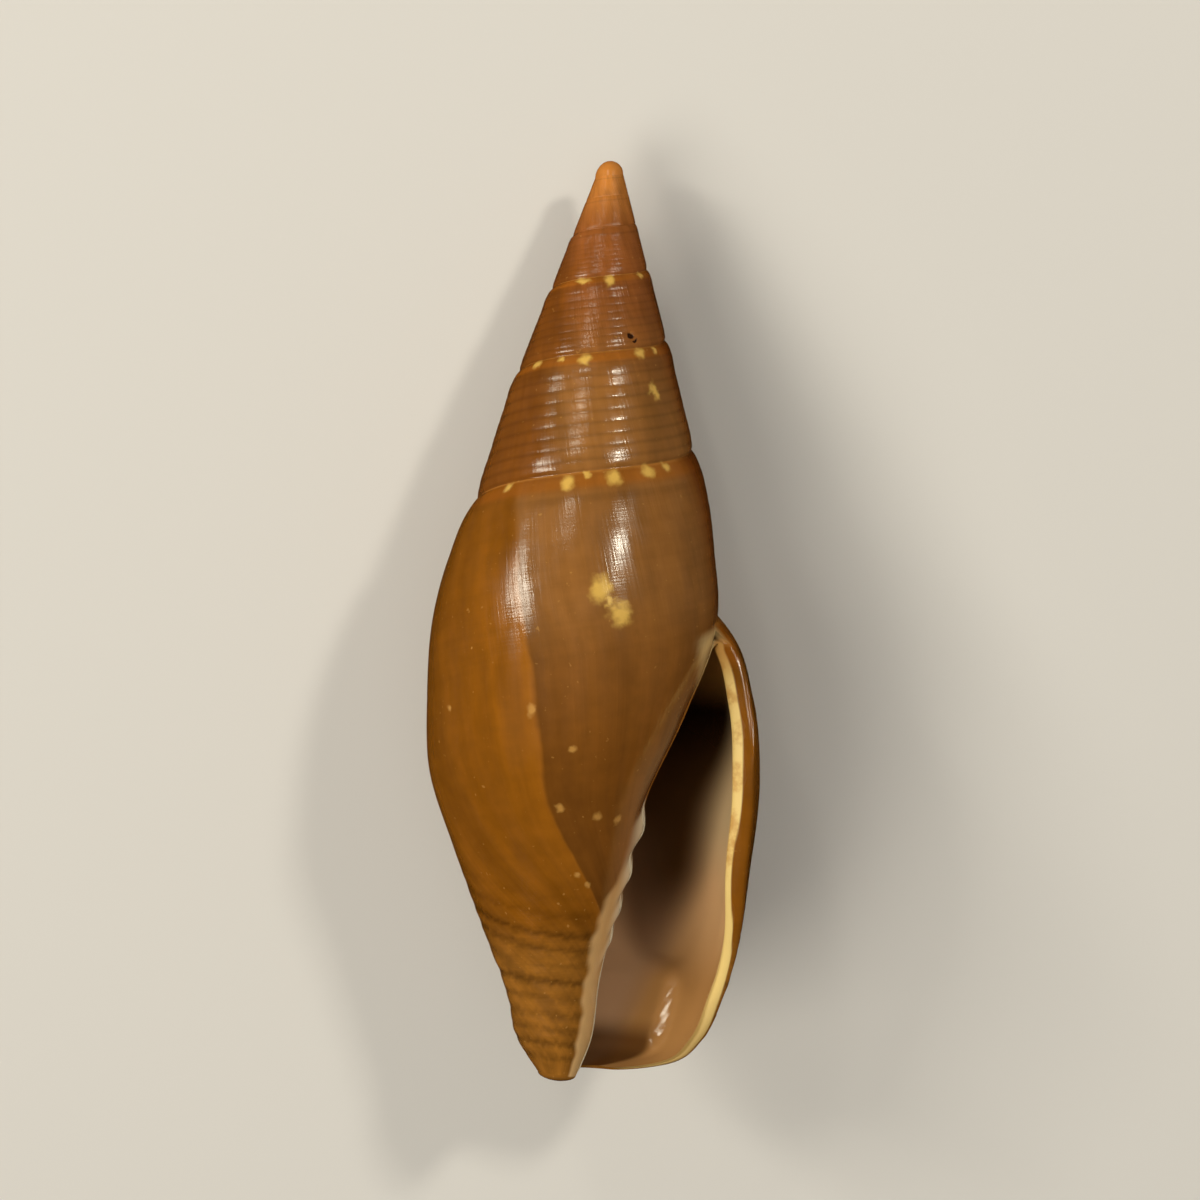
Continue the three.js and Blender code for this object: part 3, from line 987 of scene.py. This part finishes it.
def build_shell(low, high):
    skin = Skin()
    edge_turns, edge_rows = edge_line()
    side, base = cover_outside(skin, edge_turns, edge_rows)
    cover_tips(skin, side, base)
    cover_mouth(skin, side, base, edge_turns)
    points = press_pits(np.concatenate(skin.points))
    used = np.unique(np.concatenate([np.asarray(face) for face in skin.faces]))
    seat = seat_matrix(points[used], low, high)
    placed = moved(seat, points)
    placed[:, 2] = np.maximum(placed[:, 2], 0)
    renumbered = np.full(len(points), -1)
    renumbered[used] = np.arange(len(used))
    mesh = bpy.data.meshes.new("mitre_shell")
    mesh.from_pydata(placed[used].tolist(), [], [renumbered[face].tolist() for face in skin.faces])
    masks = {name: np.concatenate(values) for name, values in skin.masks.items()}
    masks["down"] = -points[:, 1]
    for name, values in masks.items():
        layer = mesh.attributes.new(name, "FLOAT", "POINT")
        layer.data.foreach_set("value", values[used].astype(np.float32))
    growth = mesh.attributes.new("growth", "FLOAT_VECTOR", "CORNER")
    growth.data.foreach_set("vector", np.concatenate(skin.growth).astype(np.float32).ravel())
    mesh.shade_smooth()
    return add_object("mitre_shell", mesh), seat


# Materials


def srgb(red, green, blue):
    """Linear colour from the usual 0 to 255 values."""

    def linear(value):
        share = value / 255
        return share / 12.92 if share <= 0.04045 else ((share + 0.055) / 1.055) ** 2.4

    return (linear(red), linear(green), linear(blue), 1)


# Colours of the shell
# The lighter browns of the front are partly painted sheen, against the golden left flank of the spire and
# the darker lower part of the older growth
OLD_BROWN = srgb(148, 98, 48)
OLD_DARK = srgb(130, 79, 26)
SPIRE_GOLD = srgb(122, 68, 16)
NEW_BROWN = srgb(129, 77, 15)
BASE_TAN = srgb(160, 108, 44)
# Painted shade for the right side of the older whorls
PAINTED_SIDE_SHADE = srgb(104, 52, 8)
SPIRE_BROWN = srgb(146, 84, 38)
TIP_ORANGE = srgb(200, 126, 54)
BAND_ORANGE = srgb(160, 92, 24)
LINE_PALE = srgb(190, 128, 58)
CREAM = srgb(228, 184, 92)
FAINT_CREAM = srgb(205, 152, 78)
PIT_DARK = srgb(48, 24, 8)
LIP_CREAM = srgb(236, 204, 130)
LIP_STAIN = srgb(196, 138, 66)
LIP_LOW = srgb(178, 146, 86)
# Wall of the hollow: tan near the lip, partly its own colour and partly painted glow; painted light higher
# up and at the top; painted shade low down
WALL_TAN_AND_GLOW = srgb(246, 196, 143)
PAINTED_LIGHT_HIGH = srgb(255, 222, 172)
PAINTED_SHADE_LOW = srgb(174, 126, 75)
WALL_MAUVE = srgb(186, 146, 112)
PAINTED_LIGHT_TOP = srgb(225, 160, 80)
# Painted shade deep inside the hollow, darker towards its top
PAINTED_SHADE_DEEP = srgb(90, 60, 32)
PAINTED_SHADE_TOP = srgb(26, 12, 4)
CANAL_BROWN = srgb(84, 48, 16)
LIMB_TAN = srgb(170, 110, 46)
GLAZE_TAN = srgb(230, 186, 128)
PALE_WHITE = srgb(222, 208, 184)
CALLUS_WHITE = srgb(218, 188, 132)


class Graph:
    """Short names for the material nodes used here."""

    def __init__(self, material):
        self.tree = material.node_tree

    def node(self, kind, inputs=(), **settings):
        made = self.tree.nodes.new(kind)
        for name, value in settings.items():
            setattr(made, name, value)
        for slot, value in dict(inputs).items():
            self.feed(made.inputs[slot], value)
        return made

    def feed(self, socket, value):
        if isinstance(value, bpy.types.NodeSocket):
            self.tree.links.new(value, socket)
        else:
            socket.default_value = value

    def mask(self, name):
        return self.node("ShaderNodeAttribute", attribute_name=name).outputs["Fac"]

    def math(self, operation, first, second=0.0, third=0.0):
        inputs = {0: first, 1: second, 2: third}
        return self.node("ShaderNodeMath", inputs, operation=operation).outputs[0]

    def step(self, value, low, high, start=0.0, end=1.0):
        inputs = {"Value": value, "From Min": low, "From Max": high, "To Min": start, "To Max": end}
        return self.node("ShaderNodeMapRange", inputs, interpolation_type="SMOOTHSTEP").outputs[0]

    def blend(self, share, first, second, kind="MIX"):
        inputs = {0: share, 6: first, 7: second}
        return self.node("ShaderNodeMix", inputs, data_type="RGBA", blend_type=kind).outputs[2]

    def vector(self, operation, first, second=(0, 0, 0), third=(0, 0, 0), output="Vector"):
        inputs = {0: first, 1: second, 2: third}
        return self.node("ShaderNodeVectorMath", inputs, operation=operation).outputs[output]

    def noise(self, vector, scale, detail=2.0, roughness=0.5):
        inputs = {"Vector": vector, "Scale": scale, "Detail": detail, "Roughness": roughness}
        return self.node("ShaderNodeTexNoise", inputs)


def spots_mask(graph, position, spots):
    """Least distance to any of the spots, as a share of its half width and height."""
    nearest = FAR_AWAY
    for (x, y, z), width, height in spots:
        across = 2 * MM_PER_METRE / width
        along = 2 * MM_PER_METRE / height
        offset = (-x * across, -y * along, -z * across)
        inside = graph.vector("MULTIPLY_ADD", position, (across, along, across), offset)
        nearest = graph.math("MINIMUM", nearest, graph.vector("LENGTH", inside, output="Value"))
    return nearest


class ShellPaint:
    """Procedural colours of the shell, layer by layer."""

    def __init__(self, material, seat):
        g = Graph(material)
        self.graph = g
        self.seat = seat
        self.along = g.node("ShaderNodeAttribute", attribute_name="growth").outputs["Vector"]
        self.growth, self.row, self.turn = g.node("ShaderNodeSeparateXYZ", {0: self.along}).outputs
        self.down = g.mask("down")
        self.position = g.node("ShaderNodeTexCoord").outputs["Object"]
        self.waver = g.noise(self.position, *WAVER_NOISE).outputs["Color"]

    def streaks(self, growth_scale, row_scale, detail=2.0):
        """Noise drawn out along the growth lines."""
        g = self.graph
        vector = g.vector("MULTIPLY", self.along, (growth_scale, row_scale, 0))
        vector = g.vector("MULTIPLY_ADD", self.waver, STREAK_WAVER, vector)
        return g.noise(vector, 1.0, detail).outputs["Fac"]

    def noise(self, *settings):
        return self.graph.noise(self.position, *settings).outputs["Fac"]

    def by_depth(self, step):
        return self.graph.step(self.down, *step)

    def both(self, first, second):
        return self.graph.math("MULTIPLY", first, second)

    def shaded(self, colour, shade):
        grey = self.graph.node("ShaderNodeCombineColor", {0: shade, 1: shade, 2: shade}).outputs[0]
        return self.graph.blend(1.0, colour, grey, "MULTIPLY")

    def spire(self):
        g = self.graph
        colour = g.blend(self.by_depth(SPIRE_DEPTHS), OLD_BROWN, SPIRE_BROWN)
        # Golden left flank of the spire; the lighter brown of the front beside it stands in for a broad
        # reflection, as painted sheen
        flank = g.step(g.math("FRACT", self.growth), *FLANK_TURNS)
        flank = self.both(flank, self.by_depth(FLANK_DEPTHS))
        colour = g.blend(flank, colour, SPIRE_GOLD)
        return g.blend(self.by_depth(ORANGE_DEPTHS), colour, TIP_ORANGE)

    def ground(self):
        """Browns of the spire, and of the growth before and after it stopped."""
        g = self.graph
        ragged = g.math("MULTIPLY_ADD", self.streaks(*RAGGED_STREAKS), RAGGED_TURNS, -RAGGED_TURNS / 2)
        at = g.math("ADD", self.growth, ragged)
        newer = g.step(at, GROWTH_STOP - STOP_SOFTNESS, GROWTH_STOP + STOP_SOFTNESS)
        # The older growth darkens downwards: partly its own colour, partly painted sheen on the lighter
        # upper part
        older = g.blend(g.step(self.row, *OLD_DARK_ROWS), OLD_BROWN, OLD_DARK)
        body = g.blend(newer, older, NEW_BROWN)
        body = g.blend(self.by_depth(BASE_TAN_DEPTHS), body, BASE_TAN)
        colour = g.blend(g.step(self.growth, *BODY_TURNS), self.spire(), body)
        past = g.math("SUBTRACT", at, GROWTH_STOP)
        dark = self.both(g.step(past, *STOP_DARK), g.step(past, STOP_EDGE, -STOP_EDGE))
        light = self.both(g.step(past, *STOP_LIGHT), g.step(past, -STOP_EDGE, STOP_EDGE))
        lower = g.step(self.row, *STOP_ROWS)
        shade = g.math("MULTIPLY_ADD", g.math("SUBTRACT", light, dark), lower, 1.0)
        return self.shaded(colour, shade)

    def painted_side_shade(self, colour):
        """Painted shade: a darker band down the right side of the older whorls."""
        g = self.graph
        around = g.math("FRACT", g.math("ADD", self.growth, 0.5))
        away = g.math("ABSOLUTE", g.math("SUBTRACT", around, 0.5))
        band = self.both(g.step(away, *SIDE_SHADE_TURNS), g.step(self.growth, *SIDE_SHADE_GROWTH))
        return g.blend(self.both(band, self.by_depth(SIDE_SHADE_DEPTHS)), colour, PAINTED_SIDE_SHADE)

    def growth_lines(self, colour):
        g = self.graph
        broad = g.step(self.streaks(*BROAD_STREAKS), *BROAD_SHADES)
        fine = g.step(self.streaks(*FINE_STREAKS), *FINE_SHADES)
        spiral = g.step(self.streaks(*SPIRAL_STREAKS), *SPIRAL_SHADES)
        mottle = g.step(self.noise(*MOTTLE_NOISE), *MOTTLE_SHADES)
        return self.shaded(colour, self.both(self.both(broad, fine), self.both(spiral, mottle)))

    def suture_band(self, colour):
        """Orange band and pale line under each suture, and a dark line under older bands."""
        g = self.graph
        worn = self.by_depth(BAND_DEPTHS)
        band = g.step(self.row, *BAND_ROWS)
        colour = g.blend(self.both(band, worn), colour, BAND_ORANGE)
        line = g.step(self.row, *LINE_ROWS)
        colour = g.blend(self.both(line, worn), colour, LINE_PALE)
        under = self.both(g.step(self.row, *UNDER_START_ROWS), g.step(self.row, *UNDER_END_ROWS))
        older = g.step(self.growth, GROWTH_STOP + UNDER_SOFTNESS, GROWTH_STOP - UNDER_SOFTNESS)
        return self.shaded(colour, g.math("MULTIPLY_ADD", self.both(under, older), UNDER_SHADE, 1.0))

    def seated(self, spots):
        return [(moved(self.seat, point), width, height) for point, width, height in spots]

    def front_spots(self):
        return self.seated((suture_point(x, whorl, SPOT_DROP * h), w, h) for x, whorl, w, h in SUTURE_SPOTS)

    def front_marks(self, marks):
        return self.seated((front_point(x, depth), w, h) for x, depth, w, h in marks)

    def wobbled(self, wobble, size):
        """Position shifted by noise, for uneven edges."""
        g = self.graph
        shifted = g.vector("MULTIPLY_ADD", wobble, (size,) * 3, self.position)
        return g.vector("ADD", shifted, (-size / 2,) * 3)

    def markings(self, colour):
        """Cream spots and blotches, fainter dots and specks, and the dark of the pits."""
        g = self.graph
        wobble = g.noise(self.position, *WOBBLE_NOISE).outputs["Color"]
        uneven = self.wobbled(wobble, SPOT_WOBBLE)
        ragged = self.wobbled(wobble, BLOTCH_WOBBLE)
        hidden_spots, hidden_blotches = hidden_marks()
        bright = spots_mask(g, uneven, self.front_spots() + self.seated(hidden_spots))
        blotch = spots_mask(g, ragged, self.front_marks(BLOTCHES))
        faint = spots_mask(g, uneven, self.front_marks(FAINT_DOTS) + self.seated(hidden_blotches))
        pits = spots_mask(g, uneven, self.front_marks(PITS))
        colour = g.blend(g.step(faint, *FAINT_EDGE), colour, FAINT_CREAM)
        specks = g.step(self.noise(*SPECK_NOISE), *SPECK_SHARES)
        colour = g.blend(specks, colour, FAINT_CREAM)
        colour = g.blend(g.step(blotch, *BLOTCH_EDGE), colour, CREAM)
        colour = g.blend(g.step(bright, *SPOT_EDGE), colour, CREAM)
        return g.blend(g.step(pits, *PIT_EDGE), colour, PIT_DARK)

    def wall(self, inward, deep):
        """Outer wall of the hollow: tan near the lip, partly its own colour and partly painted glow,
        lighter higher up and at the top as painted light and darker low down as painted shade, then mauve,
        and dark deep inside as painted shade.
        """
        g = self.graph
        # Painted glow near the lip and painted light higher up, then painted shade low down
        near = g.blend(self.by_depth(WALL_HIGH_DEPTHS), WALL_TAN_AND_GLOW, PAINTED_LIGHT_HIGH)
        near = g.blend(self.by_depth(WALL_LOW_DEPTHS), near, PAINTED_SHADE_LOW)
        colour = g.blend(g.step(inward, *MAUVE_TURNS), near, WALL_MAUVE)
        # Painted shade deep inside, held back low down far from the lip
        beyond = self.both(g.step(inward, *BEYOND_TURNS), self.by_depth(BEYOND_DEPTHS))
        upper = self.both(self.by_depth(DEEP_DEPTHS), g.math("SUBTRACT", 1.0, beyond))
        sooner = self.by_depth(SOONER_DEPTHS)
        reach = g.step(g.math("ADD", inward, sooner), *DEEP_TURNS)
        colour = g.blend(self.both(reach, upper), colour, deep)
        # Painted light at the top of the hollow
        return g.blend(self.by_depth(WALL_TOP_DEPTHS), colour, PAINTED_LIGHT_TOP)

    def pillar(self, inward, deep):
        """Pillar side of the hollow: white and tan at its edge, then mauve, and dark further in as painted
        shade.
        """
        g = self.graph
        white = g.math("MAXIMUM", g.mask("fold"), g.mask("glaze"))
        edge = g.blend(white, LIMB_TAN, PALE_WHITE)
        edge = g.blend(g.mask("callus"), edge, CALLUS_WHITE)
        colour = g.blend(g.step(inward, *PILLAR_TURNS), edge, WALL_MAUVE)
        # Painted shade further in on the pillar side
        dark = self.both(g.step(inward, *PILLAR_DEEP_TURNS), self.by_depth(PILLAR_DEEP_DEPTHS))
        return g.blend(dark, colour, deep)

    def hollow(self):
        g = self.graph
        inward = g.mask("inward")
        # Painted shade of the deep hollow, darker towards the top of the mouth
        deep = g.blend(self.by_depth(DEEP_TOP_DEPTHS), PAINTED_SHADE_DEEP, PAINTED_SHADE_TOP)
        colour = g.blend(g.mask("pillar"), self.wall(inward, deep), self.pillar(inward, deep))
        canal = self.both(self.by_depth(CANAL_DEPTHS), g.step(inward, *CANAL_TURNS))
        return g.blend(canal, colour, CANAL_BROWN)

    def lip(self):
        g = self.graph
        stain = g.step(self.noise(*STAIN_NOISE), *STAIN_SHARES)
        stain = self.both(stain, self.by_depth(STAIN_DEPTHS))
        stain = g.math("MAXIMUM", stain, self.by_depth(STAIN_TOP_DEPTHS))
        cream = g.blend(stain, LIP_CREAM, LIP_STAIN)
        return g.blend(self.by_depth(LIP_LOW_DEPTHS), cream, LIP_LOW)

    def inside(self, colour):
        """Glaze, callus, folds, lip and hollow of the mouth."""
        g = self.graph
        colour = g.blend(self.both(g.mask("glaze"), PAD_COVER), colour, GLAZE_TAN)
        colour = g.blend(self.both(g.mask("callus"), PAD_COVER), colour, CALLUS_WHITE)
        colour = g.blend(g.mask("fold"), colour, PALE_WHITE)
        within = g.math("MAXIMUM", g.step(g.mask("inward"), *WITHIN_TURNS), g.mask("pillar"))
        colour = g.blend(within, colour, self.hollow())
        return g.blend(g.step(g.mask("lip"), *LIP_EDGE), colour, self.lip())

    def grooves(self, colour):
        """Dark grooves, and flecks and wrinkles between the grooves of the base."""
        g = self.graph
        fleck = g.step(self.noise(*FLECK_NOISE), *FLECK_SHADES)
        fleck = self.both(fleck, self.by_depth(FLECK_DEPTHS))
        around = self.both(self.turn, WRINKLE_RATE)
        level = g.node("ShaderNodeCombineXYZ", {0: around, 1: self.down}).outputs[0]
        level = g.vector("MULTIPLY_ADD", self.waver, WRINKLE_WAVER, level)
        wrinkle = g.step(g.noise(level, *WRINKLE_NOISE).outputs["Fac"], *WRINKLE_SHADES)
        wrinkle = self.both(wrinkle, self.by_depth(WRINKLE_DEPTHS))
        shade = g.math("MULTIPLY_ADD", g.mask("groove"), GROOVE_SHADE, 1.0)
        return self.shaded(colour, g.math("ADD", shade, g.math("ADD", fleck, wrinkle)))

    def colour(self):
        colour = self.ground()
        colour = self.suture_band(colour)
        colour = self.painted_side_shade(colour)
        colour = self.growth_lines(colour)
        colour = self.grooves(colour)
        colour = self.markings(colour)
        return self.inside(colour)

    def roughness(self):
        g = self.graph
        outside = g.step(self.streaks(*GLOSS_STREAKS), *GLOSS_ROUGHNESS)
        within = g.step(g.mask("inward"), *POLISH_TURNS)
        polished = g.math("MULTIPLY_ADD", within, POLISH, outside)
        return g.math("MULTIPLY_ADD", g.mask("lip"), LIP_DULLNESS, polished)

    def normal(self):
        """Bump of the finest lines, which fades inside the mouth."""
        g = self.graph
        spiral = self.both(self.streaks(*BUMP_SPIRALS), SPIRAL_SHARE)
        inputs = {
            "Strength": g.step(g.mask("inward"), *BUMP_STRENGTHS),
            "Distance": BUMP_HEIGHT,
            "Height": g.math("ADD", self.streaks(*BUMP_STREAKS), spiral),
        }
        return g.node("ShaderNodeBump", inputs).outputs[0]


def new_material(name):
    material = bpy.data.materials.new(name)
    material.use_nodes = True
    return material, material.node_tree.nodes["Principled BSDF"].inputs


def shell_material(seat):
    material, inputs = new_material("shell_glossy")
    paint = ShellPaint(material, seat)
    paint.graph.feed(inputs["Base Color"], paint.colour())
    paint.graph.feed(inputs["Roughness"], paint.roughness())
    paint.graph.feed(inputs["Normal"], paint.normal())
    inputs["IOR"].default_value = SHELL_IOR
    return material


def floor_material():
    material, inputs = new_material("pale_floor")
    inputs["Base Color"].default_value = FLOOR_COLOUR
    inputs["Roughness"].default_value = FLOOR_ROUGHNESS
    return material


# Stage


def add_floor():
    mesh = bpy.data.meshes.new("floor")
    signs = ((-1, -1), (1, -1), (1, 1), (-1, 1))
    corners = [(x * FLOOR_HALF, y * FLOOR_HALF, 0) for x, y in signs]
    mesh.from_pydata(corners, [], [(0, 1, 2, 3)])
    mesh.materials.append(floor_material())
    floor = add_object("floor", mesh)
    floor.visible_glossy = False


def add_camera(seat):
    data = bpy.data.cameras.new("camera")
    data.sensor_width = SENSOR
    data.lens = SENSOR * VIEW_DISTANCE / VIEW_WIDTH
    data.clip_start = NEAR_CLIP
    camera = add_object("camera", data)
    roll = math.radians(VIEW_ROLL_DEGREES)
    tilt = seat_tilt() @ Matrix.Rotation(roll, 4, "Z")
    aim = Vector(moved(seat, [AIM_ACROSS, -AIM_DEPTH, 0]).tolist())
    back = tilt @ Vector((0, 0, 1))
    camera.matrix_world = Matrix.Translation(aim + back * VIEW_DISTANCE / MM_PER_METRE) @ tilt
    bpy.context.scene.camera = camera


def add_light(name, direction, distance, size, power, glossy):
    data = bpy.data.lights.new(name, "AREA")
    data.shape = "RECTANGLE"
    data.size, data.size_y = size
    data.energy = power
    data.color = WARM_LIGHT
    light = add_object(name, data)
    towards = Vector(direction).normalized()
    light.location = Vector(LIGHT_AIM) + towards * distance
    light.rotation_euler = towards.to_track_quat("Z", "Y").to_euler()
    light.visible_camera = False
    light.visible_glossy = glossy


def add_world():
    world = bpy.data.worlds.new("studio")
    world.use_nodes = True
    background = world.node_tree.nodes["Background"].inputs
    background["Color"].default_value = WORLD_COLOUR
    background["Strength"].default_value = WORLD_STRENGTH
    world.cycles_visibility.glossy = False
    bpy.context.scene.world = world
    bpy.context.scene.view_settings.view_transform = "Standard"


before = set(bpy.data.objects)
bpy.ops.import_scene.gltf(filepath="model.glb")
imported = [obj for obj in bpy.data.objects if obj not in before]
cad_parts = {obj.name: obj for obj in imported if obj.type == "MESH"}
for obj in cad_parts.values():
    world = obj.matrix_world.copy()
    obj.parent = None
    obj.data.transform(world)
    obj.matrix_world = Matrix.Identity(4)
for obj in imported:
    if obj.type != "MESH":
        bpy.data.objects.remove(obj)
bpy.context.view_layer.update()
shell, seat = build_shell(*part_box("shell"))
shell.data.materials.append(shell_material(seat))
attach(shell, "root")
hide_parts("shell")
add_floor()
for light_name, settings in LIGHTS.items():
    add_light(light_name, *settings)
add_world()
add_camera(seat)
